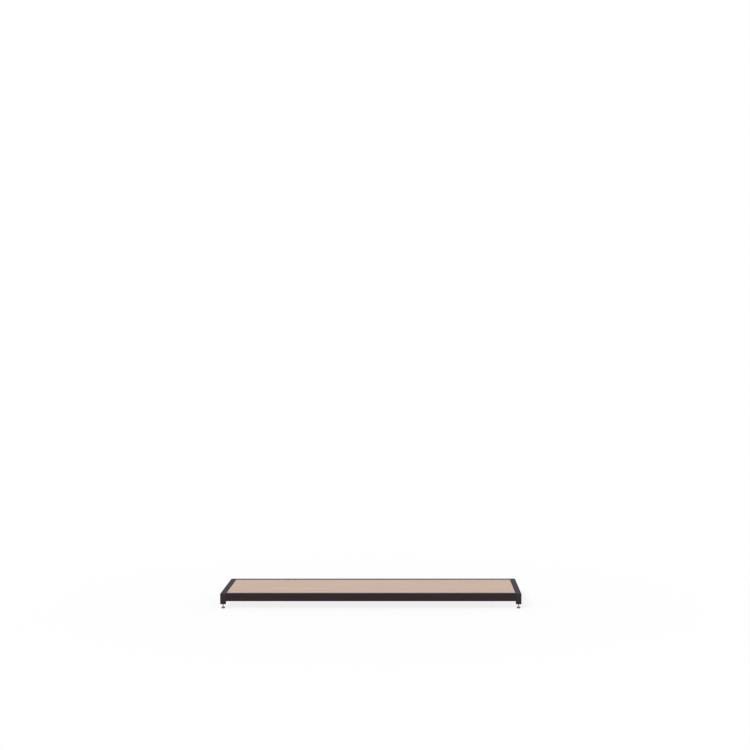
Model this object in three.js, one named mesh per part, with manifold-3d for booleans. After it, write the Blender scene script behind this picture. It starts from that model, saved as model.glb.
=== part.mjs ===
// A low display platform: a welded steel frame of box section, a board deck let into it,
// and four screw feet that level it on an uneven floor.
// Millimetres, +Z up. The origin is on the floor under the middle, and the front faces -Y.
import * as THREE from "three";
import { mergeVertices } from "three/addons/utils/BufferGeometryUtils.js";
import Module from "manifold-3d";

const wasm = await Module();
wasm.setup();

// Overall sizes
const standLength = 2100;
const standWidth = 700;
const standHeight = 105;

// Clearances
const seamGap = 0.3; // between pieces that are welded, pressed or seated on each other
const runningGap = 0.3; // round the pieces of a foot that turn or slide
const cutOverrun = 1; // how far a cutting shape runs past the face it opens

// Frame
const postSide = 38; // corner posts are square, and the rails are as wide
const railHeight = 54;
const tubeWall = 2;
const tubeCorner = 3; // outer corner radius of every box section
const innerCornerShare = 0.35; // inner corner radius as a share of the outer one
const postLift = 30; // floor to the bottom of a post
const capThickness = 3;

// Supports under the deck
const crossSide = 30;
const crossCount = 3;
const ledgeLeg = 25;
const ledgeThickness = 3;

// Deck board
const deckThickness = 18;
const deckRecess = 2; // deck top below frame top
const deckGap = 2; // all round, between board and rails
const deckCorner = 3;
const deckEase = 1; // chamfer along the board's edges

// Deck screws
const screwDiameter = 4.5;
const screwHeadDiameter = 9;
const screwHeadHeight = 3;
const screwBite = 12; // depth in the board
const screwTip = 3; // length of the point
const screwHeadEase = 1;
const screwPlaceShare = 0.56; // screw axis from the rail, as a share of the ledge's leg
const driveWidth = 1.1; // cross recess in the head
const driveSpan = 4.6;
const driveDepth = 1.8;

// Thread fixing in the bottom of each post
const plateThickness = 5;
const nutAcrossFlats = 17;
const nutHeight = 8;

// Screw feet
const studDiameter = 10;
const studTop = 65; // floor to the top of the stud
const studEase = 1;
const flangeDiameter = 14.4;
const flangeHeight = 3;
const hexAcrossFlats = 8;
const hexHeight = 6;
const baseDiameter = 25;
const baseHeight = 12; // floor to the top of the base
const baseRimHeight = 3.5; // upright rim of the base, under its rounded shoulder
const baseTopDiameter = 15; // flat top inside the shoulder
const padDiameter = 24;
const padThickness = 2; // below the base
const padBoss = 2.9; // height of the part that is pressed into the base
const padEase = 0.6;

// How finely round shapes are divided
const cornerSteps = 2;
const shoulderSteps = 4;
const footSides = 32;
const boreSides = 24;
const screwSides = 12;

// Materials
const frameCoat = new THREE.MeshStandardMaterial({ color: 0x352e31, roughness: 0.55, metalness: 0.1 });
const bareSteel = new THREE.MeshStandardMaterial({ color: 0x8d8f92, roughness: 0.4, metalness: 0.9 });
const zincSteel = new THREE.MeshStandardMaterial({ color: 0xb9bcc0, roughness: 0.3, metalness: 0.95 });
const greyPlastic = new THREE.MeshStandardMaterial({ color: 0x6e6869, roughness: 0.6, metalness: 0 });
const blackRubber = new THREE.MeshStandardMaterial({ color: 0x1a1a1b, roughness: 0.85, metalness: 0 });
const deckFace = new THREE.MeshStandardMaterial({ color: 0xcdb5a5, roughness: 0.7, metalness: 0 });

// Places worked out from the sizes above
const halfLength = standLength / 2;
const halfWidth = standWidth / 2;
const wellHalfLength = halfLength - postSide; // inside faces of the rails
const wellHalfWidth = halfWidth - postSide;
const deckTop = standHeight - deckRecess;
const deckBottom = deckTop - deckThickness;
const supportTop = deckBottom - seamGap;
const bayLength = (2 * wellHalfLength - crossCount * crossSide) / (crossCount + 1);
const ledgeOverhang = ledgeLeg + seamGap; // rail face to the tip of a ledge
const screwPlace = ledgeLeg * screwPlaceShare + seamGap; // rail face to the axis of a screw
const innerCorner = tubeCorner * innerCornerShare;
const studBore = studDiameter / 2 + runningGap;
const bossTop = padThickness + padBoss; // the stud's flange turns on the pad's boss
const flangeBottom = bossTop + runningGap;
const flangeTop = flangeBottom + flangeHeight;
const shoulderBottom = flangeTop + runningGap; // inside the base, over the flange

// Helpers

function toSolid(geometry) {
  const bare = geometry.clone();
  bare.deleteAttribute("normal");
  bare.deleteAttribute("uv");
  const merged = mergeVertices(bare);
  const triVerts = Uint32Array.from(merged.index.array);
  const vertProperties = merged.attributes.position.array;
  return new wasm.Manifold(new wasm.Mesh({ numProp: 3, vertProperties, triVerts }));
}

function toGeometry(solid) {
  const { vertProperties, triVerts } = solid.getMesh();
  const geometry = new THREE.BufferGeometry();
  geometry.setAttribute("position", new THREE.BufferAttribute(vertProperties, 3));
  geometry.setIndex(new THREE.BufferAttribute(triVerts, 1));
  geometry.computeVertexNormals();
  return geometry;
}

function cut(geometry, tools) {
  return toGeometry(tools.reduce((left, tool) => left.subtract(toSolid(tool)), toSolid(geometry)));
}

function join(geometries) {
  return toGeometry(geometries.map(toSolid).reduce((whole, piece) => whole.add(piece)));
}

// A round or six-sided outline about the origin, as a Shape or as a Path for a hole.
function evenOutline(Outline, radius, sides) {
  const points = [];
  for (let i = 0; i < sides; i++) {
    const angle = (2 * Math.PI * i) / sides;
    points.push(new THREE.Vector2(radius * Math.cos(angle), radius * Math.sin(angle)));
  }
  return new Outline(points);
}

// A rectangle round the origin with rounded corners, as a Shape or as a Path for a hole.
function roundedRectangle(Outline, width, height, radius) {
  const x = width / 2 - radius;
  const y = height / 2 - radius;
  const outline = new Outline();
  const quarter = Math.PI / 2;
  outline.absarc(x, y, radius, 0, quarter);
  outline.absarc(-x, y, radius, quarter, 2 * quarter);
  outline.absarc(-x, -y, radius, 2 * quarter, 3 * quarter);
  outline.absarc(x, -y, radius, 3 * quarter, 4 * quarter);
  outline.closePath();
  return outline;
}

function extrude(section, depth) {
  return new THREE.ExtrudeGeometry(section, { depth, bevelEnabled: false, curveSegments: cornerSteps });
}

// Extrudes a section along Z, with the middle of its length at the origin.
function bar(section, length) {
  return extrude(section, length).translate(0, 0, -length / 2);
}

function boxTube(length, width, height) {
  const section = roundedRectangle(THREE.Shape, width, height, tubeCorner);
  const bore = roundedRectangle(THREE.Path, width - 2 * tubeWall, height - 2 * tubeWall, innerCorner);
  section.holes.push(bore);
  return bar(section, length);
}

// Turns a profile of [radius, height] points about Z.
function turned(profile, sides) {
  const points = profile.map(([radius, height]) => new THREE.Vector2(radius, height));
  return new THREE.LatheGeometry(points, sides).rotateX(Math.PI / 2);
}

function cylinder(radius, bottom, top, sides) {
  return turned([[0, bottom], [radius, bottom], [radius, top], [0, top]], sides);
}

// A plate about Z with a bore through it for a stud.
function boredPlate(outline, thickness) {
  outline.holes.push(evenOutline(THREE.Path, studBore, boreSides));
  return extrude(outline, thickness);
}

function hexagon(acrossFlats) {
  return evenOutline(THREE.Shape, acrossFlats / Math.sqrt(3), 6);
}

function place(parent, name, geometry, material, x = 0, y = 0, z = 0) {
  const mesh = new THREE.Mesh(geometry, material.clone());
  mesh.name = name;
  mesh.position.set(x, y, z);
  parent.add(mesh);
  return mesh;
}

// Lays a bar down: its length along X or Y, and the height of its section along Z.
const alongX = new THREE.Matrix4().makeBasis(
  new THREE.Vector3(0, 1, 0),
  new THREE.Vector3(0, 0, 1),
  new THREE.Vector3(1, 0, 0),
);
const alongY = new THREE.Matrix4().makeBasis(
  new THREE.Vector3(-1, 0, 0),
  new THREE.Vector3(0, 0, 1),
  new THREE.Vector3(0, 1, 0),
);

// Corners of the stand, and its four sides seen from above
const corners = [
  { name: "front_left", x: -1, y: -1 },
  { name: "front_right", x: 1, y: -1 },
  { name: "rear_left", x: -1, y: 1 },
  { name: "rear_right", x: 1, y: 1 },
];

const stand = new THREE.Group();
const frame = new THREE.Group();
stand.add(frame);

// Rails between the corner posts

function addRails() {
  const z = standHeight - railHeight / 2;
  const longRail = boxTube(2 * (wellHalfLength - seamGap), postSide, railHeight);
  const shortRail = boxTube(2 * (wellHalfWidth - seamGap), postSide, railHeight);
  const front = halfWidth - postSide / 2;
  const side = halfLength - postSide / 2;
  place(frame, "front_rail", longRail, frameCoat, 0, -front, z).setRotationFromMatrix(alongX);
  place(frame, "rear_rail", longRail, frameCoat, 0, front, z).setRotationFromMatrix(alongX);
  place(frame, "left_rail", shortRail, frameCoat, -side, 0, z).setRotationFromMatrix(alongY);
  place(frame, "right_rail", shortRail, frameCoat, side, 0, z).setRotationFromMatrix(alongY);
}

// Corner posts, with a cap above and the thread fixing for a foot below

function addPosts() {
  const capBottom = standHeight - capThickness;
  const postTop = capBottom - seamGap;
  const postLength = postTop - postLift;
  const plateSide = postSide - 2 * tubeWall - 2 * seamGap;
  const nutBottom = postLift + plateThickness + seamGap;
  for (const corner of corners) {
    const x = corner.x * (halfLength - postSide / 2);
    const y = corner.y * (halfWidth - postSide / 2);
    const post = boxTube(postLength, postSide, postSide);
    const cap = bar(roundedRectangle(THREE.Shape, postSide, postSide, tubeCorner), capThickness);
    const plateOutline = roundedRectangle(THREE.Shape, plateSide, plateSide, innerCorner);
    const plate = boredPlate(plateOutline, plateThickness);
    const nut = boredPlate(hexagon(nutAcrossFlats), nutHeight);
    place(frame, "post_" + corner.name, post, frameCoat, x, y, postLift + postLength / 2);
    place(frame, "post_cap_" + corner.name, cap, frameCoat, x, y, capBottom + capThickness / 2);
    place(frame, "end_plate_" + corner.name, plate, frameCoat, x, y, postLift);
    place(frame, "weld_nut_" + corner.name, nut, bareSteel, x, y, nutBottom);
  }
}

// Cross members from rail to rail

function addCrossMembers() {
  const length = 2 * (wellHalfWidth - seamGap);
  const z = supportTop - crossSide / 2;
  for (let i = 0; i < crossCount; i++) {
    const x = -wellHalfLength + (i + 1) * bayLength + (i + 0.5) * crossSide;
    const tube = boxTube(length, crossSide, crossSide);
    place(frame, "cross_member_" + (i + 1), tube, frameCoat, x, 0, z).setRotationFromMatrix(alongY);
  }
}

// Ledges of angle along the inside of the rails, and the deck screws through them

function screwHole(x, y, bottom, top) {
  const hole = cylinder(screwDiameter / 2 + seamGap, bottom, top, screwSides);
  return hole.translate(x, y, 0);
}

// An angle with its upright leg at a rail and its flat leg on top, reaching inwards along +Y.
function ledgeShape(length) {
  const section = new THREE.Shape();
  section.moveTo(seamGap, 0);
  section.lineTo(seamGap, -ledgeLeg);
  section.lineTo(seamGap + ledgeThickness, -ledgeLeg);
  section.lineTo(seamGap + ledgeThickness, -ledgeThickness);
  section.lineTo(seamGap + ledgeLeg, -ledgeThickness);
  section.lineTo(seamGap + ledgeLeg, 0);
  section.closePath();
  const angle = bar(section, length).applyMatrix4(alongX);
  return cut(angle, [screwHole(0, screwPlace, -ledgeThickness - cutOverrun, cutOverrun)]);
}

function screwShape() {
  const underHead = -ledgeThickness - seamGap;
  const headBottom = underHead - screwHeadHeight;
  const shank = screwDiameter / 2;
  const head = screwHeadDiameter / 2;
  const body = turned(
    [
      [0, headBottom],
      [head - screwHeadEase, headBottom],
      [head, headBottom + screwHeadEase],
      [head, underHead],
      [shank, underHead],
      [shank, screwBite - screwTip],
      [0, screwBite],
    ],
    screwSides,
  );
  const recessHeight = driveDepth + cutOverrun;
  const recessMiddle = headBottom + driveDepth - recessHeight / 2;
  const bars = [
    new THREE.BoxGeometry(driveSpan, driveWidth, recessHeight),
    new THREE.BoxGeometry(driveWidth, driveSpan, recessHeight),
  ];
  return cut(body, bars.map((recess) => recess.translate(0, 0, recessMiddle)));
}

// Each ledge has its middle, its turn about Z, its length and its name.
function ledgePlaces() {
  const places = [];
  for (let i = 0; i <= crossCount; i++) {
    const x = -wellHalfLength + (i + 0.5) * bayLength + i * crossSide;
    const length = bayLength - 2 * seamGap;
    places.push({ name: "front_" + (i + 1), x, y: -wellHalfWidth, turn: 0, length });
    places.push({ name: "rear_" + (i + 1), x, y: wellHalfWidth, turn: Math.PI, length });
  }
  const endLength = 2 * (wellHalfWidth - ledgeOverhang - seamGap);
  places.push({ name: "left", x: -wellHalfLength, y: 0, turn: -Math.PI / 2, length: endLength });
  places.push({ name: "right", x: wellHalfLength, y: 0, turn: Math.PI / 2, length: endLength });
  return places;
}

function addLedges() {
  for (const { name, x, y, turn, length } of ledgePlaces()) {
    const spot = new THREE.Group();
    spot.position.set(x, y, supportTop);
    spot.rotation.z = turn;
    frame.add(spot);
    place(spot, "ledge_" + name, ledgeShape(length), frameCoat);
    place(spot, "deck_screw_" + name, screwShape(), bareSteel, 0, screwPlace);
  }
}

// Deck board, with a blind hole for each screw

function addDeck() {
  const length = 2 * (wellHalfLength - deckGap);
  const width = 2 * (wellHalfWidth - deckGap);
  const outline = roundedRectangle(THREE.Shape, length, width, deckCorner);
  const board = new THREE.ExtrudeGeometry(outline, {
    depth: deckThickness - 2 * deckEase,
    bevelEnabled: true,
    bevelThickness: deckEase,
    bevelSize: deckEase,
    bevelOffset: -deckEase,
    bevelSegments: 1,
    curveSegments: cornerSteps,
  });
  board.translate(0, 0, deckEase);
  const holeTop = screwBite; // the screws reach above the supports by their bite
  const holes = ledgePlaces().map(({ x, y, turn }) => {
    const inward = new THREE.Vector3(0, screwPlace, 0).applyAxisAngle(new THREE.Vector3(0, 0, 1), turn);
    return screwHole(x + inward.x, y + inward.y, -cutOverrun, holeTop);
  });
  place(frame, "deck_board", cut(board, holes), deckFace, 0, 0, deckBottom);
}

// Screw feet: the stud turns in the base by its flange, and the pad closes the base from below

function padShape() {
  const radius = padDiameter / 2;
  const boss = flangeDiameter / 2;
  return turned(
    [
      [0, 0],
      [radius - padEase, 0],
      [radius, padEase],
      [radius, padThickness - seamGap],
      [boss, padThickness - seamGap],
      [boss, bossTop],
      [0, bossTop],
    ],
    footSides,
  );
}

function baseShape() {
  const radius = baseDiameter / 2;
  const topRadius = baseTopDiameter / 2;
  const well = flangeDiameter / 2 + runningGap;
  const rimTop = padThickness + baseRimHeight;
  const shoulder = [];
  for (let i = 0; i <= shoulderSteps; i++) {
    const angle = (Math.PI / 2) * (i / shoulderSteps);
    const r = topRadius + (radius - topRadius) * Math.cos(angle);
    shoulder.push([r, rimTop + (baseHeight - rimTop) * Math.sin(angle)]);
  }
  return turned(
    [
      [well, padThickness],
      [radius, padThickness],
      ...shoulder,
      [studBore, baseHeight],
      [studBore, shoulderBottom],
      [well, shoulderBottom],
      [well, padThickness],
    ],
    footSides,
  );
}

function studShape() {
  const hexBottom = baseHeight + runningGap;
  const threadBottom = hexBottom + hexHeight;
  const flange = flangeDiameter / 2;
  const thread = studDiameter / 2;
  const lower = turned(
    [
      [0, flangeBottom],
      [flange, flangeBottom],
      [flange, flangeTop],
      [thread, flangeTop],
      [thread, hexBottom],
      [0, hexBottom],
    ],
    footSides,
  );
  const spannerHex = extrude(hexagon(hexAcrossFlats), hexHeight).translate(0, 0, hexBottom);
  const upper = turned(
    [
      [0, threadBottom],
      [thread - studEase, threadBottom],
      [thread, threadBottom + studEase],
      [thread, studTop - studEase],
      [thread - studEase, studTop],
      [0, studTop],
    ],
    footSides,
  );
  return join([lower, spannerHex, upper]);
}

function addFeet() {
  for (const corner of corners) {
    const foot = new THREE.Group();
    foot.position.x = corner.x * (halfLength - postSide / 2);
    foot.position.y = corner.y * (halfWidth - postSide / 2);
    stand.add(foot);
    place(foot, "foot_pad_" + corner.name, padShape(), blackRubber);
    place(foot, "foot_base_" + corner.name, baseShape(), greyPlastic);
    place(foot, "foot_stud_" + corner.name, studShape(), zincSteel);
  }
}

addRails();
addPosts();
addCrossMembers();
addLedges();
addDeck();
addFeet();

export default stand;
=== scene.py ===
# A low display platform: a dark box-section steel frame, a pale board let into it, and four screw feet.
# Blender 4.5. Everything is in metres, and a size in millimetres is written as a number times mm.
import math
import random

import bmesh
import bpy
from mathutils import Matrix, Vector


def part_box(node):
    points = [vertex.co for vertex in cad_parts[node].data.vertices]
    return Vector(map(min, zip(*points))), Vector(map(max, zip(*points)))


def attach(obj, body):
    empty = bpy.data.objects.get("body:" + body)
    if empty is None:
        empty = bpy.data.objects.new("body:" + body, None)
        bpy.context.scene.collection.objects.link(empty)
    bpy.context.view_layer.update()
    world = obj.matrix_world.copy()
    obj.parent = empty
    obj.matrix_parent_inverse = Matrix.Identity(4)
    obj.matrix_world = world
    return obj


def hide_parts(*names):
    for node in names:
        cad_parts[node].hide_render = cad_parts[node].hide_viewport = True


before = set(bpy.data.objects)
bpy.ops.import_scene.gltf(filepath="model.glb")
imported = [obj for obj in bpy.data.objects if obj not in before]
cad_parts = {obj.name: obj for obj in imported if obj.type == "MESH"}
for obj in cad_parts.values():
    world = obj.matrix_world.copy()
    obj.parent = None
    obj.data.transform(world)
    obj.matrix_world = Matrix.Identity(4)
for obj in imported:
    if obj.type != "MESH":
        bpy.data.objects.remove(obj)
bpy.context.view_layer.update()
scene = bpy.context.scene
mm = 0.001
runningGap = 0.3 * mm  # between a piece that turns or slides and the one that holds it
studRadius = 5.0 * mm  # over the crests of its thread
studBore = studRadius + runningGap
quarterTurn = math.radians(90)
up = Vector((0, 0, 1))
cornerSigns = {"front_left": (-1, -1), "front_right": (1, -1), "rear_left": (-1, 1), "rear_right": (1, 1)}
# Each direction of a bar has the two directions of its section, so that together they are right-handed.
sectionAxes = {
    "x": (Vector((0, 1, 0)), up, Vector((1, 0, 0))),
    "y": (Vector((-1, 0, 0)), up, Vector((0, 1, 0))),
    "z": (Vector((1, 0, 0)), Vector((0, 1, 0)), up),
}
print("frame loaded with", len(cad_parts), "nodes")


# Places of the CAD nodes

def nodesNamed(start):
    return sorted(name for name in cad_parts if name.startswith(start))


def middleOf(node):
    low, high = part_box(node)
    return (low + high) / 2


# The same, on the floor.
def footprint(node):
    middle = middleOf(node)
    return Vector((middle.x, middle.y, 0))


def halfWidthOf(node):
    low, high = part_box(node)
    return (high.x - low.x) / 2


# Half the length and half the width of the well for the deck, whose corners are the posts' inner corners.
def wellReach():
    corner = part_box("post_front_left")[1]
    return -corner.x, -corner.y


# Camera, at the photograph's place

cameraView = {
    "place": (0.2946, -11.4037, 1.8689),
    "lens": 76.468,
    "sensor": 36,
    "down": math.radians(1.2519),
    "left": math.radians(1.3327),
    "roll": math.radians(-0.215),
}


def addCamera():
    data = bpy.data.cameras.new("viewCamera")
    data.lens = cameraView["lens"]
    data.sensor_width = cameraView["sensor"]
    camera = bpy.data.objects.new("viewCamera", data)
    turned = Matrix.Rotation(cameraView["left"], 4, "Z")
    turned = turned @ Matrix.Rotation(quarterTurn - cameraView["down"], 4, "X")
    turned = turned @ Matrix.Rotation(cameraView["roll"], 4, "Z")
    camera.matrix_world = Matrix.Translation(cameraView["place"]) @ turned
    scene.collection.objects.link(camera)
    scene.camera = camera


# Shader nodes

# Links the inputs that come from another node, and sets the plain ones.
def fillInputs(tree, node, inputs):
    for key, value in inputs.items():
        if isinstance(value, bpy.types.NodeSocket):
            tree.links.new(value, node.inputs[key])
        else:
            node.inputs[key].default_value = value


def addNode(tree, kind, inputs=None, **settings):
    made = tree.nodes.new(kind)
    for key, value in settings.items():
        setattr(made, key, value)
    fillInputs(tree, made, inputs or {})
    return made


def opaque(colour):
    return (*colour, 1.0)


def grey(level):
    return (level, level, level, 1.0)


def combine(tree, operation, first, second=0.0):
    return addNode(tree, "ShaderNodeMath", {0: first, 1: second}, operation=operation).outputs[0]


def remap(tree, value, fromSpan, toSpan=(0.0, 1.0)):
    spans = {"From Min": fromSpan[0], "From Max": fromSpan[1], "To Min": toSpan[0], "To Max": toSpan[1]}
    return addNode(tree, "ShaderNodeMapRange", {"Value": value, **spans}).outputs[0]


def mixShaders(tree, share, first, second):
    return addNode(tree, "ShaderNodeMixShader", {0: share, 1: first, 2: second}).outputs[0]


def splitPlace(tree, place):
    return addNode(tree, "ShaderNodeSeparateXYZ", {0: place}).outputs


# Studio: a broad soft light from the front left, a weak one from behind, an even sky, and a pale floor

studio = {
    "key": {
        "from": Vector((-3.2, -4.2, 4.6)),
        "spread": math.radians(20),
        "strength": 1.92,
        "colour": (1.0, 0.965, 0.92),
    },
    "fill": {
        "from": Vector((3.6, 5.0, 2.2)),
        "spread": math.radians(40),
        "strength": 0.8,
        "colour": (0.97, 0.98, 1.0),
    },
    "skyColour": (0.90, 0.95, 1.0),
    "skyStrength": 0.49,
    "floorSize": 60,
    "floorTone": 0.8,
    "shadowShare": 0.16,  # how much of the floor's shadow the camera sees
    "shadowFade": (1.4, 3.2),  # from here the shadow fades, and from there on the floor is white
}


def addLamp(name):
    look = studio[name]
    data = bpy.data.lights.new(name + "Lamp", "SUN")
    data.angle = look["spread"]
    data.energy = look["strength"]
    data.color = look["colour"]
    lamp = bpy.data.objects.new(name + "Lamp", data)
    lamp.location = look["from"]
    lamp.rotation_mode = "QUATERNION"
    lamp.rotation_quaternion = (-look["from"]).to_track_quat("-Z", "Y")
    scene.collection.objects.link(lamp)


# True where the camera, a mirror or a glass looks straight at the backdrop.
def seenDirectly(tree):
    path = addNode(tree, "ShaderNodeLightPath").outputs
    mirrored = combine(tree, "MAXIMUM", path["Is Camera Ray"], path["Is Glossy Ray"])
    return combine(tree, "MAXIMUM", mirrored, path["Is Transmission Ray"])


def addSky():
    world = bpy.data.worlds.new("studioSky")
    world.use_nodes = True
    tree = world.node_tree
    tree.nodes.clear()
    glow = {"Color": opaque(studio["skyColour"]), "Strength": studio["skyStrength"]}
    lighting = addNode(tree, "ShaderNodeBackground", glow)
    backdrop = addNode(tree, "ShaderNodeBackground", {"Color": grey(1.0), "Strength": 1.0})
    sky = mixShaders(tree, seenDirectly(tree), lighting.outputs[0], backdrop.outputs[0])
    addNode(tree, "ShaderNodeOutputWorld", {"Surface": sky})
    scene.world = world


# The floor bounces light as a pale floor does. The camera sees it white, with a light shadow, and sees
# through it from below.
def floorFinish():
    material = bpy.data.materials.new("paleFloor")
    material.use_nodes = True
    tree = material.node_tree
    tree.nodes.clear()
    share = studio["shadowShare"]
    fadeFrom, fadeTo = studio["shadowFade"]
    bounce = addNode(tree, "ShaderNodeBsdfDiffuse", {"Color": grey(studio["floorTone"])})
    shadowed = addNode(tree, "ShaderNodeBsdfDiffuse", {"Color": grey(share)})
    glow = addNode(tree, "ShaderNodeEmission", {"Color": grey(1.0), "Strength": 1.0 - share})
    lit = addNode(tree, "ShaderNodeAddShader", {0: shadowed.outputs[0], 1: glow.outputs[0]})
    white = addNode(tree, "ShaderNodeEmission", {"Color": grey(1.0), "Strength": 1.0})
    place = addNode(tree, "ShaderNodeNewGeometry").outputs
    away = addNode(tree, "ShaderNodeVectorMath", {0: place["Position"]}, operation="LENGTH").outputs["Value"]
    span = {"Value": away, "From Min": fadeFrom, "From Max": fadeTo}
    fade = addNode(tree, "ShaderNodeMapRange", span, interpolation_type="SMOOTHSTEP")
    near = mixShaders(tree, fade.outputs[0], lit.outputs[0], white.outputs[0])
    above = mixShaders(tree, seenDirectly(tree), bounce.outputs[0], near)
    clear = addNode(tree, "ShaderNodeBsdfTransparent").outputs[0]
    sided = mixShaders(tree, place["Backfacing"], above, clear)
    addNode(tree, "ShaderNodeOutputMaterial", {"Surface": sided})
    return material


def addFloor():
    half = studio["floorSize"] / 2
    mesh = bpy.data.meshes.new("studioFloor")
    corners = [(-half, -half, 0), (half, -half, 0), (half, half, 0), (-half, half, 0)]
    mesh.from_pydata(corners, [], [(0, 1, 2, 3)])
    mesh.materials.append(floorFinish())
    floor = bpy.data.objects.new("studioFloor", mesh)
    scene.collection.objects.link(floor)


# Finishes

noiseSpan = (0.3, 0.7)  # nearly all of a noise's values


def newFinish(name):
    material = bpy.data.materials.new(name)
    material.use_nodes = True
    tree = material.node_tree
    place = addNode(tree, "ShaderNodeTexCoord").outputs["Object"]
    return material, tree, tree.nodes["Principled BSDF"], place


def noiseAt(tree, place, look):
    scale = 1 / look["size"]
    inputs = {"Vector": place, "Scale": scale, "Detail": look["detail"], "Roughness": look["roughness"]}
    return addNode(tree, "ShaderNodeTexNoise", inputs).outputs["Fac"]


def mixTones(tree, share, first, second, blend="MIX"):
    tones = [tone if isinstance(tone, bpy.types.NodeSocket) else opaque(tone) for tone in (first, second)]
    inputs = {0: share, 6: tones[0], 7: tones[1]}
    return addNode(tree, "ShaderNodeMix", inputs, data_type="RGBA", blend_type=blend).outputs[2]


# A tone that changes with a noise, from one share of itself to another.
def varied(tree, noise, tone, shares):
    darker, paler = ([channel * share for channel in tone] for share in shares)
    return mixTones(tree, remap(tree, noise, noiseSpan), darker, paler)


# How far the surface faces up, from -1 to 1.
def facingUp(tree):
    return splitPlace(tree, addNode(tree, "ShaderNodeNewGeometry").outputs["Normal"])["Z"]


def addBump(tree, height, distance, below=None):
    inputs = {"Height": height, "Distance": distance, "Strength": 1.0}
    if below:
        inputs["Normal"] = below
    return addNode(tree, "ShaderNodeBump", inputs).outputs["Normal"]


coat = {
    "railTone": (0.0327, 0.0233, 0.0268),
    "postTone": (0.0393, 0.0297, 0.0332),
    "cloud": {"size": 350 * mm, "detail": 4.0, "roughness": 0.6},
    "cloudShares": (0.93, 1.07),
    "wave": {"size": 30 * mm, "detail": 1.0, "roughness": 0.5},
    "waveHeight": 0.03 * mm,
    "pebbleSize": 1.0 * mm,
    "pebbleSpan": (0.60, 0.15),  # from a pebble's foot to its top, as shares of its size
    "pebbleHeight": 0.07 * mm,
    "pebbleShadeWeight": 0.35,  # against the grain, in the painted pebble shade
    "grain": {"size": 0.5 * mm, "detail": 2.0, "roughness": 0.55},
    "grainHeight": 0.03 * mm,
    # Painted shade: how pebbles and grain map to shares of the tone, darker at the pebbles' feet and paler on
    # their tops.
    "pebbleShadeSpan": (0.30, 0.95),
    "pebbleShadeShares": (0.80, 1.26),
    # Painted sky reflection: a bluish tone laid over upward faces, in uneven patches like a little dust.
    "paintedSkyAndDustTone": (0.08, 0.13, 0.22),
    "paintedSkyAndDustShare": 0.05,
    "paintedSkyFacing": (0.5, 1.0),  # from a slope that gets none of the painted sky reflection or dust to a level top
    "paintedSkyAndDustPatches": {"size": 60 * mm, "detail": 5.0, "roughness": 0.65},
    "paintedSkyAndDustPatchShares": (0.7, 1.3),
    "roughness": (0.66, 0.80),
    "roughnessSpan": (0.7, 1.3),
    "specular": 0.05,
    "sheen": 0.05,
    "sheenRoughness": 0.5,
    "sheenTone": (0.38, 0.62, 1.0),
}


# Fine-texture powder coat: small pebbles and a tight grain over a long soft wave. The colour has painted
# shade at the pebbles' feet, and a painted bluish sky reflection on top, in uneven patches like a little
# dust.
def powderCoat(name, tone):
    material, tree, shader, place = newFinish(name)
    wave = noiseAt(tree, place, coat["wave"])
    cloud = noiseAt(tree, place, coat["cloud"])
    grain = noiseAt(tree, place, coat["grain"])
    cells = addNode(tree, "ShaderNodeTexVoronoi", {"Vector": place, "Scale": 1 / coat["pebbleSize"]})
    pebbles = remap(tree, cells.outputs["Distance"], coat["pebbleSpan"])
    # Painted shade: the tone is darker at the pebbles' feet and paler on their tops, mixed with the grain's
    # random tone.
    pebbleShadeAndGrain = combine(tree, "ADD", combine(tree, "MULTIPLY", pebbles, coat["pebbleShadeWeight"]), grain)
    shade = remap(tree, pebbleShadeAndGrain, coat["pebbleShadeSpan"], coat["pebbleShadeShares"])
    shading = addNode(tree, "ShaderNodeCombineXYZ", {"X": shade, "Y": shade, "Z": shade}).outputs[0]
    clouded = varied(tree, cloud, tone, coat["cloudShares"])
    toned = mixTones(tree, 1.0, clouded, shading, "MULTIPLY")
    # Painted bluish sky reflection on upward faces, patchy like dust, mixed into the base colour.
    facingSky = remap(tree, facingUp(tree), coat["paintedSkyFacing"], (0.0, coat["paintedSkyAndDustShare"]))
    patches = remap(tree, noiseAt(tree, place, coat["paintedSkyAndDustPatches"]), noiseSpan, coat["paintedSkyAndDustPatchShares"])
    paintedSkyAndDust = combine(tree, "MULTIPLY", facingSky, patches)
    uneven = combine(tree, "ADD", grain, cloud)
    rolling = addBump(tree, wave, coat["waveHeight"])
    pebbled = addBump(tree, pebbles, coat["pebbleHeight"], rolling)
    fillInputs(tree, shader, {
        "Base Color": mixTones(tree, paintedSkyAndDust, toned, coat["paintedSkyAndDustTone"]),
        "Roughness": remap(tree, uneven, coat["roughnessSpan"], coat["roughness"]),
        "Normal": addBump(tree, grain, coat["grainHeight"], pebbled),
        "Specular IOR Level": coat["specular"],
        "Sheen Weight": coat["sheen"],
        "Sheen Roughness": coat["sheenRoughness"],
        "Sheen Tint": opaque(coat["sheenTone"]),
    })
    return material


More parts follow.
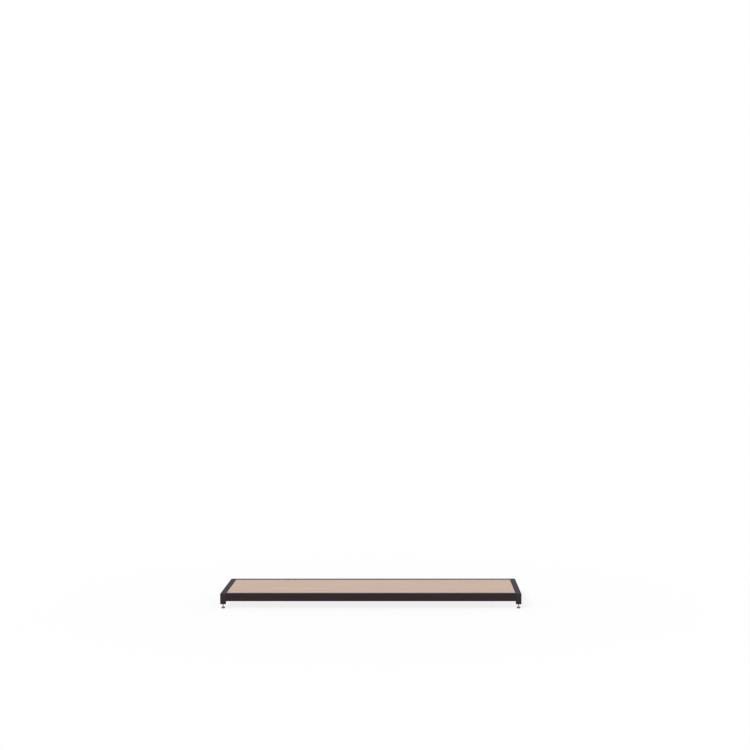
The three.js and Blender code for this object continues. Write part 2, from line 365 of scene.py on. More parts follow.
board = {
    "tone": (0.581, 0.411, 0.314),
    "darkTone": (0.499, 0.340, 0.249),
    "paleTone": (0.659, 0.477, 0.374),
    "poreTone": (0.300, 0.190, 0.125),
    "coreTone": (0.330, 0.225, 0.145),
    "leafWidth": 156 * mm,
    "leafShift": 7.0,  # how far apart along the noise two leaves can lie
    "leafCalm": 0.35,  # how plain the plainest leaf is
    "sway": {"size": 900 * mm, "detail": 2.0, "roughness": 0.5},
    "swayReach": 20 * mm,
    # Streaks: their width, how many times longer than wide they are, and their share of the figure.
    "bands": {"size": 46 * mm, "stretch": 24, "detail": 3.0, "roughness": 0.5, "share": 0.25},
    "lines": {"size": 3.2 * mm, "stretch": 48, "detail": 4.0, "roughness": 0.6, "share": 0.42},
    "fibres": {"size": 1.0 * mm, "stretch": 36, "detail": 2.0, "roughness": 0.6, "share": 0.33},
    "pores": {"size": 0.5 * mm, "stretch": 11, "detail": 1.0, "roughness": 0.5},
    "figureSpan": (0.40, 0.60),
    "poreSpan": (0.62, 0.70),
    "poreDepth": 0.42,
    "chips": {"size": 1.6 * mm, "detail": 4.0, "roughness": 0.7},
    "chipShares": (0.8, 1.2),
    "faceSpan": (0.55, 0.65),  # how far a surface faces up or down where the veneer begins
    "relief": 0.05 * mm,
    "roughness": (0.50, 0.66),
    "specular": 0.30,
}


# Pale veneer with its grain along the board: leaves side by side, soft bands, lines, fibres and open pores.
# The sides of the board show its pressed core.
def veneer():
    material, tree, shader, place = newFinish("deckVeneer")
    parts = splitPlace(tree, place)
    leaf = combine(tree, "FLOOR", combine(tree, "DIVIDE", parts["Y"], board["leafWidth"]))
    leafDraw = addNode(tree, "ShaderNodeTexWhiteNoise", {"W": leaf}, noise_dimensions="1D").outputs["Value"]
    shift = combine(tree, "MULTIPLY", leafDraw, board["leafShift"])
    sway = combine(tree, "MULTIPLY", noiseAt(tree, place, board["sway"]), board["swayReach"])
    across = combine(tree, "ADD", parts["Y"], sway)
    streaks = {}
    for name in ("bands", "lines", "fibres", "pores"):
        look = board[name]
        along = combine(tree, "ADD", combine(tree, "DIVIDE", parts["X"], look["stretch"]), shift)
        drawn = addNode(tree, "ShaderNodeCombineXYZ", {"X": along, "Y": across, "Z": parts["Z"]}).outputs[0]
        streaks[name] = noiseAt(tree, drawn, look)
    weighed = []
    for name in ("lines", "fibres", "bands"):
        weighed.append(combine(tree, "MULTIPLY", streaks[name], board[name]["share"]))
    figure = combine(tree, "ADD", combine(tree, "ADD", weighed[0], weighed[1]), weighed[2])
    toned = mixTones(tree, remap(tree, figure, board["figureSpan"]), board["darkTone"], board["paleTone"])
    calm = combine(tree, "MULTIPLY", leafDraw, board["leafCalm"])
    pore = remap(tree, streaks["pores"], board["poreSpan"], (0.0, board["poreDepth"]))
    faceTone = mixTones(tree, pore, mixTones(tree, calm, toned, board["tone"]), board["poreTone"])
    chips = noiseAt(tree, place, board["chips"])
    coreTone = varied(tree, chips, board["coreTone"], board["chipShares"])
    onFace = remap(tree, combine(tree, "ABSOLUTE", facingUp(tree)), board["faceSpan"])
    smooth, rough = board["roughness"]
    fillInputs(tree, shader, {
        "Base Color": mixTones(tree, onFace, coreTone, faceTone),
        "Roughness": remap(tree, streaks["lines"], noiseSpan, (rough, smooth)),
        "Normal": addBump(tree, combine(tree, "SUBTRACT", streaks["fibres"], pore), board["relief"]),
        "Specular IOR Level": board["specular"],
    })
    return material


steel = {
    "zincTone": (0.62, 0.62, 0.615),
    "bareTone": (0.38, 0.385, 0.40),
    "spotShares": (0.92, 1.06),
    "roughness": (0.25, 0.40),
    "spots": {"size": 1.4 * mm, "detail": 4.0, "roughness": 0.6},
    "spotHeight": 0.02 * mm,
}


def metalFinish(name, tone):
    material, tree, shader, place = newFinish(name)
    spots = noiseAt(tree, place, steel["spots"])
    smooth, rough = steel["roughness"]
    fillInputs(tree, shader, {
        "Base Color": varied(tree, spots, tone, steel["spotShares"]),
        "Roughness": remap(tree, spots, noiseSpan, (rough, smooth)),
        "Normal": addBump(tree, spots, steel["spotHeight"]),
        "Metallic": 1.0,
    })
    return material


moulded = {
    "cloud": {"size": 9 * mm, "detail": 2.0, "roughness": 0.5},
    "cloudShares": (0.9, 1.1),
    "grainHeight": 0.03 * mm,
}
plastic = {
    "tone": (0.184, 0.153, 0.152),
    "roughness": (0.42, 0.58),
    "grain": {"size": 0.5 * mm, "detail": 3.0, "roughness": 0.6},
    "specular": 0.4,
}
rubber = {
    "tone": (0.013, 0.013, 0.014),
    "roughness": (0.72, 0.88),
    "grain": {"size": 0.7 * mm, "detail": 3.0, "roughness": 0.6},
    "specular": 0.25,
}


def mouldedFinish(name, look):
    material, tree, shader, place = newFinish(name)
    grain = noiseAt(tree, place, look["grain"])
    cloud = noiseAt(tree, place, moulded["cloud"])
    fillInputs(tree, shader, {
        "Base Color": varied(tree, cloud, look["tone"], moulded["cloudShares"]),
        "Roughness": remap(tree, grain, noiseSpan, look["roughness"]),
        "Normal": addBump(tree, grain, moulded["grainHeight"]),
        "Specular IOR Level": look["specular"],
    })
    return material


# Mesh building

shading = {"sharpEdge": math.radians(34), "flatWeight": 90, "mergeGap": 1e-4 * mm}


def smoothed(mesh):
    mesh.shade_smooth()
    mesh.set_sharp_from_angle(angle=shading["sharpEdge"])
    return mesh


def closedMesh(name, vertices, faces):
    mesh = bpy.data.meshes.new(name)
    mesh.from_pydata(vertices, [], faces)
    bm = bmesh.new()
    bm.from_mesh(mesh)
    bmesh.ops.remove_doubles(bm, verts=bm.verts, dist=shading["mergeGap"])
    bmesh.ops.dissolve_degenerate(bm, edges=bm.edges, dist=shading["mergeGap"])
    bmesh.ops.recalc_face_normals(bm, faces=bm.faces)
    bm.to_mesh(mesh)
    bm.free()
    return smoothed(mesh)


def newPiece(name, mesh):
    piece = bpy.data.objects.new(name, mesh)
    scene.collection.objects.link(piece)
    return piece


# Quads between rings of equal count. The rings close on each other, or the first and last are filled.
def skin(rings, looped):
    count = len(rings[0])
    vertices = [point for ring in rings for point in ring]
    faces = []
    for r in range(len(rings) if looped else len(rings) - 1):
        a = r * count
        b = (r + 1) % len(rings) * count
        for k in range(count):
            n = (k + 1) % count
            faces.append((a + k, a + n, b + n, b + k))
    if not looped:
        faces.append(tuple(range(count)))
        faces.append(tuple(range((len(rings) - 1) * count, len(rings) * count)))
    return vertices, faces


# Several closed shells as one mesh.
def gather(shells):
    vertices, faces = [], []
    for points, loops in shells:
        start = len(vertices)
        vertices.extend(points)
        faces.extend(tuple(start + i for i in loop) for loop in loops)
    return vertices, faces


quadrants = ((1, 1), (-1, 1), (-1, -1), (1, -1))  # the corners of an outline, anticlockwise


# A rectangle round the origin, with one radius for all its corners or a list of one for each.
def cornerOutline(halfU, halfV, radii, steps):
    if not isinstance(radii, list):
        radii = [radii] * len(quadrants)
    points = []
    for index, (signU, signV) in enumerate(quadrants):
        radius = radii[index]
        for k in range(steps + 1):
            angle = quarterTurn * (index + k / steps)
            u = signU * (halfU - radius) + radius * math.cos(angle)
            v = signV * (halfV - radius) + radius * math.sin(angle)
            points.append((u, v))
    return points


def ringAt(outline, centre, axis, along):
    u, v, w = sectionAxes[axis]
    return [centre + u * a + v * b + w * along for a, b in outline]


# Rings about Z. A ring's radius is a number or a function of the angle.
def polarRings(profile, sides, centre):
    rings = []
    for radius, height in profile:
        ring = []
        for k in range(sides):
            angle = 2 * math.pi * k / sides
            r = radius(angle) if callable(radius) else radius
            ring.append(centre + Vector((r * math.cos(angle), r * math.sin(angle), height)))
        rings.append(ring)
    return rings


# A six-sided outline as a function of the angle, with its corners turned off at a radius if one is given.
def hexOutline(acrossFlats, turnedAt=math.inf):
    def radiusAt(angle):
        return min(acrossFlats / 2 / math.cos(angle % (math.pi / 3) - math.pi / 6), turnedAt)

    return radiusAt


# A square outline with rounded corners, as a function of the angle.
def squareOutline(half, corner):
    def radiusAt(angle):
        folded = (angle + math.pi / 4) % quarterTurn - math.pi / 4
        if abs(half * math.tan(folded)) <= half - corner:
            return half / math.cos(folded)
        offset = half - corner
        along = offset * (math.cos(folded) + abs(math.sin(folded)))
        return along + math.sqrt(max(along ** 2 - 2 * offset ** 2 + corner ** 2, 0.0))

    return radiusAt


# A weld bead along a path, in a corner that opens one way: an oval section with crescent ripples.
bead = {
    "ripple": 2.1 * mm,
    "step": 0.42 * mm,
    "fewestSteps": 8,
    "sides": 12,
    "depth": 0.13,
    "crescent": 0.55,
    "flatness": 0.72,
    "tail": 1.6 * mm,
    "tailShare": 0.12,
}


def weldBead(path, towards, leg, looped=False):
    points = list(path) + ([path[0]] if looped else [])
    lengths = [(b - a).length for a, b in zip(points, points[1:])]
    total = sum(lengths)
    count = max(bead["fewestSteps"], round(total / bead["step"]))
    rings = []
    for s in range(count if looped else count + 1):
        travelled = total * s / count
        distance = travelled
        segment = 0
        while segment < len(lengths) - 1 and distance > lengths[segment]:
            distance -= lengths[segment]
            segment += 1
        tangent = (points[segment + 1] - points[segment]).normalized()
        centre = points[segment] + tangent * distance
        side = tangent.cross(towards).normalized()
        fromEnd = max(0.0, min(travelled, total - travelled))
        swell = 1.0 if looped else min(1.0, math.sqrt(fromEnd / bead["tail"]) + bead["tailShare"])
        ring = []
        for k in range(bead["sides"]):
            angle = 2 * math.pi * k / bead["sides"]
            lag = bead["crescent"] * (1 - math.sin(angle)) / 2
            phase = (travelled / bead["ripple"] + lag) % 1.0
            size = leg * swell * (1 + bead["depth"] * (phase ** 2 - 0.5))
            rise = towards * (size * bead["flatness"] * math.sin(angle))
            ring.append(centre + side * (size * math.cos(angle)) + rise)
        rings.append(ring)
    return skin(rings, looped)


# A straight bead to both sides of a middle.
def straightBead(middle, half, towards, leg):
    return weldBead([middle - half, middle + half], towards.normalized(), leg)


# Large flat faces stay flat under smooth shading. The piece takes its finish and its body, and the node it
# stands for is hidden.
def dress(piece, node, finish, body="frame"):
    weighted = piece.modifiers.new("evenShading", "WEIGHTED_NORMAL")
    weighted.keep_sharp = True
    weighted.weight = shading["flatWeight"]
    piece.data.materials.append(finish)
    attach(piece, body)
    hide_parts(node)


def undressedPiece(node, shells):
    return newPiece(node + "_finished", closedMesh(node, *gather(shells)))


def finishedPiece(node, shells, finish, body="frame"):
    dress(undressedPiece(node, shells), node, finish, body)


# Cuts shells out of a piece.
def cutAway(piece, shells):
    tool = newPiece("cutter", closedMesh("cutter", *gather(shells)))
    carving = piece.modifiers.new("carving", "BOOLEAN")
    carving.operation = "DIFFERENCE"
    carving.solver = "EXACT"
    carving.object = tool
    bpy.context.view_layer.update()
    carved = bpy.data.meshes.new_from_object(piece.evaluated_get(bpy.context.evaluated_depsgraph_get()))
    piece.modifiers.remove(carving)
    plain = piece.data
    piece.data = smoothed(carved)
    bpy.data.meshes.remove(plain)
    bpy.data.objects.remove(tool)


# Adds shells to a piece.
def addShells(piece, shells):
    extra = closedMesh("extra", *gather(shells))
    bm = bmesh.new()
    bm.from_mesh(piece.data)
    bm.from_mesh(extra)
    bm.to_mesh(piece.data)
    bm.free()
    bpy.data.meshes.remove(extra)


# Frame: rails, posts, caps and cross members

section = {"corner": 3 * mm, "innerCorner": 1.05 * mm, "wall": 2 * mm, "steps": 7}
weld = {"cornerLeg": 3.4 * mm, "memberLeg": 2.8 * mm, "stitchLeg": 2.6 * mm, "plateLeg": 0.9 * mm}


# The outside and the inside of the box section.
def sectionOutlines(halfU, halfV):
    wall = section["wall"]
    outer = cornerOutline(halfU, halfV, section["corner"], section["steps"])
    inner = cornerOutline(halfU - wall, halfV - wall, section["innerCorner"], section["steps"])
    return outer, inner


# A hollow bar along an axis, to both sides of its centre.
def boxTube(axis, reach, centre, halfU, halfV):
    outer, inner = sectionOutlines(halfU, halfV)
    stations = [(inner, -reach), (outer, -reach), (outer, reach), (inner, reach)]
    return skin([ringAt(outline, centre, axis, along) for outline, along in stations], True)


def buildRails(finish):
    wellHalfLength, wellHalfWidth = wellReach()
    for node, axis, reach in (
        ("front_rail", "x", wellHalfLength),
        ("rear_rail", "x", wellHalfLength),
        ("left_rail", "y", wellHalfWidth),
        ("right_rail", "y", wellHalfWidth),
    ):
        low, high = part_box(node)
        halfU = (high.y - low.y) / 2 if axis == "x" else (high.x - low.x) / 2
        tube = boxTube(axis, reach, middleOf(node), halfU, (high.z - low.z) / 2)
        finishedPiece(node, [tube], finish)


post = {"fillFrom": 2.5 * mm, "filledCorner": 0.25 * mm, "ease": 0.25 * mm}


# Below the rails a post is round at all its corners. Above, the welds fill them flush, but for the outer one.
def postShell(signs, centre, half, bottom, railBottom, top):
    steps = section["steps"]
    ease = post["ease"]
    outer, inner = sectionOutlines(half, half)
    eased = cornerOutline(half - ease, half - ease, section["corner"] - ease, steps)
    filledCorners = [post["filledCorner"]] * len(quadrants)
    filledCorners[quadrants.index(signs)] = section["corner"]
    filled = cornerOutline(half, half, filledCorners, steps)
    stations = [
        (inner, bottom),
        (eased, bottom),
        (outer, bottom + ease),
        (outer, railBottom - post["fillFrom"]),
        (filled, railBottom),
        (filled, top),
        (inner, top),
    ]
    return skin([ringAt(outline, centre, "z", along) for outline, along in stations], True)


def buildPosts(finish):
    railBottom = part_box("front_rail")[0].z
    for corner, signs in cornerSigns.items():
        node = "post_" + corner
        half = halfWidthOf(node)
        centre = footprint(node)
        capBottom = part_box("post_cap_" + corner)[0].z
        shells = [postShell(signs, centre, half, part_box(node)[0].z, railBottom, capBottom)]
        inX = Vector((-signs[0], 0, 0))
        inY = Vector((0, -signs[1], 0))
        for inward, across in ((inX, inY), (inY, inX)):
            middle = centre + up * railBottom + inward * half
            hold = across * (half - section["corner"])
            shells.append(straightBead(middle, hold, inward - up, weld["cornerLeg"]))
        finishedPiece(node, shells, finish)


# Height of a cap over its underside, at a distance in from a rounded top edge.
def roundedHeight(distance, radius):
    inside = max(0.0, radius - distance)
    return math.sqrt(max(radius ** 2 - inside ** 2, 0.0))


# A point of the ball at a cap's outer corner: how far in from its two sides, and its height.
def ballPoint(u, v, radius):
    polar = max(u, v)
    azimuth = 0.0
    if u >= v and u > 0:
        azimuth = quarterTurn / 2 * v / u
    elif v > 0:
        azimuth = quarterTurn - quarterTurn / 2 * u / v
    a = radius - radius * math.sin(polar) * math.cos(azimuth)
    b = radius - radius * math.sin(polar) * math.sin(azimuth)
    return a, b, radius * math.cos(polar)


# A cap's top rounds over at its two outer edges and at the corner of the well, and is flush with the rails.
def capShell(signs, low, high):
    radius = section["corner"]
    steps = section["steps"]
    side = high.x - low.x
    # A station is a turn over the outer edge, or a distance in from it, closer together near the well.
    turns = [quarterTurn * k / steps for k in range(steps + 1)]
    stations = [("turn", turn) for turn in reversed(turns)]
    stations += [("flat", side - radius + radius * math.sin(turn)) for turn in turns]
    reachX = max(abs(low.x), abs(high.x))
    reachY = max(abs(low.y), abs(high.y))
    corner = Vector((signs[0] * reachX, signs[1] * reachY, low.z))
    points = []
    for kindU, u in stations:
        for kindV, v in stations:
            if kindU == "turn" and kindV == "turn":
                a, b, h = ballPoint(u, v, radius)
            else:
                a = radius - radius * math.sin(u) if kindU == "turn" else u
                b = radius - radius * math.sin(v) if kindV == "turn" else v
                h = min(roundedHeight(distance, radius) for distance in (a, b, max(side - a, side - b)))
            points.append(corner + Vector((-signs[0] * a, -signs[1] * b, h)))
    count = len(stations)
    last = count - 1
    faces = []
    for i in range(last):
        for j in range(last):
            faces.append((i * count + j, (i + 1) * count + j, (i + 1) * count + j + 1, i * count + j + 1))
    rim = [i * count for i in range(count)]
    rim += [last * count + j for j in range(1, count)]
    rim += [i * count + last for i in range(last - 1, -1, -1)]
    rim += list(range(last - 1, 0, -1))
    below = len(points)
    points += [Vector((points[i].x, points[i].y, low.z)) for i in rim]
    for k in range(len(rim)):
        n = (k + 1) % len(rim)
        faces.append((rim[k], rim[n], below + n, below + k))
    faces.append(tuple(range(below, below + len(rim))))
    return points, faces


def buildCaps(finish):
    for corner, signs in cornerSigns.items():
        node = "post_cap_" + corner
        finishedPiece(node, [capShell(signs, *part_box(node))], finish)


def buildCrossMembers(finish):
    wellHalfWidth = wellReach()[1]
    for node in nodesNamed("cross_member_"):
        half = halfWidthOf(node)
        centre = middleOf(node)
        hold = half - section["corner"]
        shells = [boxTube("y", wellHalfWidth, centre, half, half)]
        for end in (-1, 1):
            inward = Vector((0, -end, 0))
            foot = Vector((centre.x, end * wellHalfWidth, centre.z))
            for out, along in ((Vector((-1, 0, 0)), up), (Vector((1, 0, 0)), up), (-up, Vector((1, 0, 0)))):
                shells.append(straightBead(foot + out * half, along * hold, out + inward, weld["memberLeg"]))
        finishedPiece(node, shells, finish)


# Ledges of rolled angle, stitched to the rails

ledge = {
    "thickness": 3 * mm,
    "rootFillet": 3 * mm,
    "toe": 1.4 * mm,
    "steps": 5,
    "holeRadius": 2.55 * mm,
    "holeSides": 40,
    "stitch": 26 * mm,
    "stitchShares": (-0.38, 0.0, 0.38),
}
ledgeSides = {
    "front": Vector((0, 1, 0)),
    "rear": Vector((0, -1, 0)),
    "left": Vector((1, 0, 0)),
    "right": Vector((-1, 0, 0)),
}


def arcPoints(centreU, centreV, radius, start, end):
    points = []
    for k in range(ledge["steps"] + 1):
        turn = math.radians(start + (end - start) * k / ledge["steps"])
        points.append((centreU + radius * math.cos(turn), centreV + radius * math.sin(turn)))
    return points


# The angle's section: u is measured in from the rail, v down from the top.
def angleOutline(leg, drop):
    thick = ledge["thickness"]
    fillet = ledge["rootFillet"]
    toe = ledge["toe"]
    outline = [(0.0, 0.0), (0.0, -drop)]
    outline += arcPoints(thick - toe, -drop + toe, toe, -90, 0)
    outline += arcPoints(thick + fillet, -thick - fillet, fillet, 180, 90)
    outline += arcPoints(leg - toe, -thick + toe, toe, -90, 0)
    outline.append((leg, 0.0))
    return outline


# A straight round hole's shell, with a middle and a depth to both sides of it.
def holeShell(middle, radius, depth, sides):
    return skin(polarRings([(radius, -depth), (radius, depth)], sides, middle), False)


def buildLedges(finish):
    wellHalfLength, wellHalfWidth = wellReach()
    for node in nodesNamed("ledge_"):
        inward = ledgeSides[node.split("_")[1]]
        along = Vector((abs(inward.y), abs(inward.x), 0))
        reach = wellHalfWidth if inward.y else wellHalfLength
        low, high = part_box(node)
        top = Vector((0, 0, high.z))
        drop = high.z - low.z
        leg = reach - min(abs(low.dot(inward)), abs(high.dot(inward)))
        length = (high - low).dot(along)
        middle = along * footprint(node).dot(along) - inward * reach + top  # on the rail, at the ledge's top
        outline = angleOutline(leg, drop)
        ends = (-length / 2, length / 2)
        rings = [[middle + inward * u + up * v + along * end for u, v in outline] for end in ends]
        piece = undressedPiece(node, [skin(rings, False)])
        hole = footprint(node.replace("ledge", "deck_screw")) + top
        cutAway(piece, [holeShell(hole, ledge["holeRadius"], 2 * ledge["thickness"], ledge["holeSides"])])
        half = along * (ledge["stitch"] / 2)
        seams = [middle + along * (share * length) - up * drop for share in ledge["stitchShares"]]
        addShells(piece, [straightBead(seam, half, inward - up, weld["stitchLeg"]) for seam in seams])
        dress(piece, node, finish)


# End plates and weld nuts in the bottoms of the posts

plate = {
    "ease": 0.8 * mm,
    "boreEase": 0.6 * mm,
    "corner": 1.05 * mm,
    "sides": 96,
    "seamCorner": 2 * mm,
    "seamSteps": 6,
    "seamRise": 0.35 * mm,
}
nut = {
    "acrossFlats": 17 * mm,
    "turnedOff": 1.1 * mm,
    "lowerBevel": 0.55 * mm,
    "upperBevel": 0.66 * mm,
    "topBevel": 0.2 * mm,
    "faceInset": 0.15 * mm,
    "boreEase": 0.5 * mm,
    "sides": 96,
}


def buildEndPlates(finish):
    for corner in cornerSigns:
        node = "end_plate_" + corner
        low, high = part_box(node)
        half = halfWidthOf(node)
        full = squareOutline(half, plate["corner"])
        eased = squareOutline(half - plate["ease"], plate["corner"])
        profile = [
            (studBore + plate["boreEase"], low.z),
            (eased, low.z),
            (full, low.z + plate["ease"]),
            (full, high.z),
            (studBore, high.z),
            (studBore, low.z + plate["boreEase"]),
        ]
        shells = [skin(polarRings(profile, plate["sides"], footprint(node)), True)]
        # The bead lies halfway between the plate's edge and the post's wall.
        seamHalf = (half + halfWidthOf("post_" + corner) - section["wall"]) / 2
        seam = cornerOutline(seamHalf, seamHalf, plate["seamCorner"], plate["seamSteps"])
        path = ringAt(seam, footprint(node), "z", low.z + plate["seamRise"])
        shells.append(weldBead(path, -up, weld["plateLeg"], looped=True))
        finishedPiece(node, shells, finish)


def buildWeldNuts(finish):
    flats = nut["acrossFlats"]
    full = hexOutline(flats)
    turned = hexOutline(flats, flats / math.sqrt(3) - nut["turnedOff"])
    for corner in cornerSigns:
        node = "weld_nut_" + corner
        low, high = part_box(node)
        profile = [
            (studBore, low.z),
            (turned, low.z),
            (full, low.z + nut["lowerBevel"]),
            (full, high.z - nut["upperBevel"]),
            (turned, high.z - nut["topBevel"]),
            (flats / 2 - nut["faceInset"], high.z),
            (studBore + nut["boreEase"], high.z),
            (studBore, high.z - nut["boreEase"]),
        ]
        shell = skin(polarRings(profile, nut["sides"], footprint(node)), True)
        finishedPiece(node, [shell], finish)


# Deck board

deck = {
    "corner": 3 * mm,
    "ease": 1.0 * mm,
    "steps": 5,
    "holeRadius": 2.55 * mm,
    "holeDepth": 12 * mm,
    "holeSides": 40,
}


def buildDeck(finish):
    low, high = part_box("deck_board")
    halfU = (high.x - low.x) / 2
    halfV = (high.y - low.y) / 2
    ease = deck["ease"]
    levels = []
    for k in range(deck["steps"] + 1):
        turn = quarterTurn * k / deck["steps"]
        levels.append((ease * (1 - math.sin(turn)), low.z + ease * (1 - math.cos(turn))))
    levels += [(inset, low.z + high.z - z) for inset, z in reversed(levels)]
    rings = []
    for inset, z in levels:
        outline = cornerOutline(halfU - inset, halfV - inset, deck["corner"] - inset, deck["steps"])
        rings.append(ringAt(outline, Vector((0, 0, 0)), "z", z))
    piece = undressedPiece("deck_board", [skin(rings, False)])
    holes = []
    for node in nodesNamed("deck_screw_"):
        mouth = footprint(node) + up * low.z
        holes.append(holeShell(mouth, deck["holeRadius"], deck["holeDepth"], deck["holeSides"]))
    cutAway(piece, holes)
    dress(piece, "deck_board", finish)


# Threads: columns of points that climb one pitch in a turn, between two flat ends

threadShape = ((0.0, "root"), (0.22, "root"), (0.54, "crest"), (0.68, "crest"))  # places in a pitch


# The reach is how far out the thread may come at a height.
def threadColumn(turnShare, bottom, top, look, reach):
    column = []
    pitches = math.ceil((top - bottom) / look["pitch"]) + 1
    for n in range(-1, pitches):
        for offset, level in threadShape:
            z = bottom + (n + offset + turnShare) * look["pitch"]
            z = min(max(z, bottom), top)
            column.append((min(look[level], reach(z)), z))
    return column


# A rod about Z: plain rings below, a thread, and an end. The last column meets the first a pitch higher.
def threadedRod(lower, thread, end, look, centre):
    sides = look["sides"]
    columns = []
    for k in range(sides + 1):
        turnShare = k / sides
        turn = 2 * math.pi * turnShare
        column = [((r(turn) if callable(r) else r), z) for r, z in lower]
        column += threadColumn(turnShare, look=look, **thread)
        column.append((0.0, end))
        columns.append([centre + Vector((r * math.cos(turn), r * math.sin(turn), z)) for r, z in column])
    rows = len(columns[0])
    faces = []
    for k in range(sides):
        a = k * rows
        b = (k + 1) * rows
        for row in range(rows - 1):
            faces.append((a + row, b + row, b + row + 1, a + row + 1))
    return [point for column in columns for point in column], faces


# Deck screws: a pan head with a cross recess, a coarse thread and a point

deckScrew = {
    "head": 4.5 * mm,
    "headHeight": 3 * mm,
    "domeSteps": 8,
    "domeShare": 0.72,
    "domePower": 0.8,
    "edge": 0.15 * mm,
    "crest": 2.2 * mm,
    "root": 1.55 * mm,
    "pitch": 1.9 * mm,
    "point": 3 * mm,
    "pointRadius": 0.1 * mm,
    "pointEnd": 0.05 * mm,
    "sides": 40,
    "recessReach": 2.4 * mm,  # half its span
    "recessHalfWidth": 0.5 * mm,
    # Two levels of the recess: height over the head's outside, share of the reach, share of the width.
    "recessLevels": ((-0.4 * mm, 1.12, 1.048), (1.9 * mm, 0.42, 0.768)),
    "seed": 4,
}


def crossShell():
    rings = []
    for z, reachShare, widthShare in deckScrew["recessLevels"]:
        s = deckScrew["recessReach"] * reachShare
        w = deckScrew["recessHalfWidth"] * widthShare
        quarter = ((s, w), (w, w), (w, s))
        corners = []
        for signU, signV in quadrants:
            turned = quarter if signU == signV else reversed(quarter)
            corners += [(signU * u, signV * v) for u, v in turned]
        rings.append([Vector((u, v, z)) for u, v in corners])
    return skin(rings, False)


def screwMaster(length):
    head = deckScrew["head"]
    headHeight = deckScrew["headHeight"]
    edge = deckScrew["edge"]
    root = deckScrew["root"]
    lower = [(0.0, 0.0)]
    for k in range(1, deckScrew["domeSteps"] + 1):
        turn = quarterTurn * k / deckScrew["domeSteps"]
        rise = headHeight * deckScrew["domeShare"] * (1 - math.cos(turn))
        lower.append((head * math.sin(turn) ** deckScrew["domePower"], rise))
    lower += [(head, headHeight - edge), (head - edge, headHeight), (root, headHeight)]

    def reach(z):
        tapered = deckScrew["pointRadius"] + (length - z) / deckScrew["point"] * deckScrew["crest"]
        return min(root + max(0.0, z - headHeight), tapered)

    thread = {"bottom": headHeight, "top": length - deckScrew["pointEnd"], "reach": reach}
    rod = threadedRod(lower, thread, length, deckScrew, Vector((0, 0, 0)))
    master = newPiece("screwMaster", closedMesh("screwMaster", *rod))
    cutAway(master, [crossShell()])
    return master


def buildScrews(finish):
    low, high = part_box("deck_screw_front_1")
    master = screwMaster(high.z - low.z)
    draws = random.Random(deckScrew["seed"])
    for node in nodesNamed("deck_screw_"):
        mesh = master.data.copy()
        mesh.name = node
        place = footprint(node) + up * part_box(node)[0].z
        mesh.transform(Matrix.Translation(place) @ Matrix.Rotation(draws.uniform(0, quarterTurn), 4, "Z"))
        dress(newPiece(node + "_finished", mesh), node, finish)
    bpy.data.objects.remove(master)


# Screw feet

stud = {
    "crest": studRadius,
    "root": 4.1 * mm,
    "pitch": 1.5 * mm,
    "acrossFlats": 8 * mm,
    "turnedOff": 0.45 * mm,
    "bevel": 0.5 * mm,
    "hexHeight": 6 * mm,
    "flange": 7.2 * mm,
    "flangeHeight": 3 * mm,
    "edge": 0.4 * mm,
    "endInset": 0.2 * mm,
    "endSlope": 1.1,
    "sides": 60,
}
footBase = {
    "rim": 3.5 * mm,
    "topRadius": 7.5 * mm,
    "well": 7.5 * mm,
    "edge": 0.5 * mm,
    "steps": 14,
    "sides": 96,
}
footPad = {
    "boss": 7.2 * mm,
    "edge": 0.6 * mm,
    "edgeSteps": 4,
    "rimEdge": 0.2 * mm,
    "grooves": (3.2 * mm, 5.6 * mm, 8.0 * mm, 10.2 * mm),
    "grooveDepth": 0.5 * mm,
    "grooveMouthHalf": 0.55 * mm,
    "grooveFloorHalf": 0.275 * mm,
    "sides": 96,
}


def buildStud(corner, finish):
    node = "foot_stud_" + corner
    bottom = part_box(node)[0].z
    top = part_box(node)[1].z
    flangeTop = bottom + stud["flangeHeight"]
    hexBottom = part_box("foot_base_" + corner)[1].z + runningGap
    hexTop = hexBottom + stud["hexHeight"]
    edge = stud["edge"]
    flange = stud["flange"]
    neck = stud["crest"]
    flats = stud["acrossFlats"]
    full = hexOutline(flats)
    turned = hexOutline(flats, flats / math.sqrt(3) - stud["turnedOff"])
    lower = [
        (0.0, bottom),
        (flange - edge, bottom),
        (flange, bottom + edge),
        (flange, flangeTop - edge),
        (flange - edge, flangeTop),
        (neck, flangeTop),
        (neck, hexBottom - edge),
        (neck - edge, hexBottom),
        (turned, hexBottom),
        (full, hexBottom + stud["bevel"]),
        (full, hexTop - stud["bevel"]),
        (turned, hexTop),
        (stud["root"], hexTop),
    ]

    def reach(z):
        topRadius = stud["root"] - stud["endInset"]
        return min(stud["root"] + z - hexTop, topRadius + (top - z) * stud["endSlope"])

    shell = threadedRod(lower, {"bottom": hexTop, "top": top, "reach": reach}, top, stud, footprint(node))
    finishedPiece(node, [shell], finish, "stud_" + corner)


def buildBase(corner, finish):
    node = "foot_base_" + corner
    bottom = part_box(node)[0].z
    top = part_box(node)[1].z
    radius = halfWidthOf(node)
    edge = footBase["edge"]
    topRadius = footBase["topRadius"]
    rimTop = bottom + footBase["rim"]
    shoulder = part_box("foot_stud_" + corner)[0].z + stud["flangeHeight"] + runningGap
    profile = [(footBase["well"], bottom), (radius - edge, bottom), (radius, bottom + edge)]
    for k in range(footBase["steps"] + 1):
        turn = quarterTurn * k / footBase["steps"]
        out = topRadius + (radius - topRadius) * math.cos(turn)
        profile.append((out, rimTop + (top - rimTop) * math.sin(turn)))
    profile += [
        (studBore + edge, top),
        (studBore, top - edge),
        (studBore, shoulder),
        (footBase["well"], shoulder),
    ]
    shell = skin(polarRings(profile, footBase["sides"], footprint(node)), True)
    finishedPiece(node, [shell], finish, "foot_" + corner)


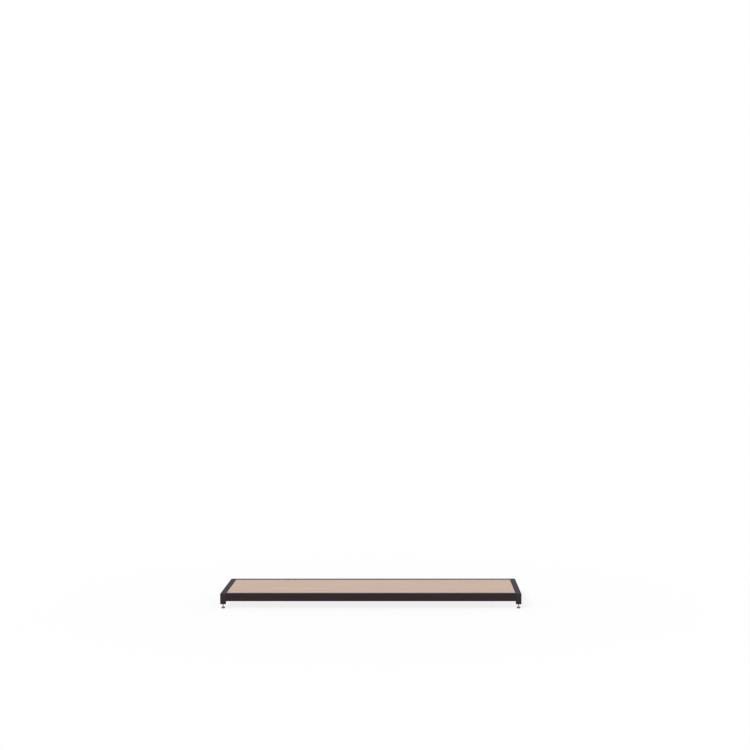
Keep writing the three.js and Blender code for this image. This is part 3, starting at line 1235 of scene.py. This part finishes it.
def buildPad(corner, finish):
    node = "foot_pad_" + corner
    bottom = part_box(node)[0].z
    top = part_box(node)[1].z
    radius = halfWidthOf(node)
    boss = footPad["boss"]
    edge = footPad["edge"]
    rimEdge = footPad["rimEdge"]
    deep = bottom + footPad["grooveDepth"]
    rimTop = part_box("foot_base_" + corner)[0].z - runningGap
    profile = []
    for groove in footPad["grooves"]:
        profile.append((groove - footPad["grooveMouthHalf"], bottom))
        profile.append((groove - footPad["grooveFloorHalf"], deep))
        profile.append((groove + footPad["grooveFloorHalf"], deep))
        profile.append((groove + footPad["grooveMouthHalf"], bottom))
    for k in range(footPad["edgeSteps"] + 1):
        turn = quarterTurn * k / footPad["edgeSteps"]
        profile.append((radius - edge * (1 - math.sin(turn)), bottom + edge * (1 - math.cos(turn))))
    profile += [
        (radius, rimTop - rimEdge),
        (radius - rimEdge, rimTop),
        (boss, rimTop),
        (boss, top - rimEdge),
        (boss - rimEdge, top),
    ]
    shell = skin(polarRings(profile, footPad["sides"], footprint(node)), False)
    finishedPiece(node, [shell], finish, "foot_" + corner)


# The scene, stage by stage

scene.view_settings.view_transform = "Standard"
addCamera()
addSky()
addLamp("key")
addLamp("fill")
addFloor()
print("studio set")

railCoat = powderCoat("railCoat", coat["railTone"])
postCoat = powderCoat("postCoat", coat["postTone"])
deckVeneer = veneer()
zincSteel = metalFinish("zincSteel", steel["zincTone"])
bareSteel = metalFinish("bareSteel", steel["bareTone"])
greyNylon = mouldedFinish("greyNylon", plastic)
blackRubber = mouldedFinish("blackRubber", rubber)
print("finishes mixed")

buildRails(railCoat)
buildPosts(postCoat)
buildCaps(postCoat)
buildCrossMembers(railCoat)
print("frame built")
buildLedges(railCoat)
buildEndPlates(postCoat)
buildWeldNuts(bareSteel)
print("fixings built")
buildDeck(deckVeneer)
buildScrews(bareSteel)
print("deck laid")
for cornerName in cornerSigns:
    buildStud(cornerName, zincSteel)
    buildBase(cornerName, greyNylon)
    buildPad(cornerName, blackRubber)
print("feet built")
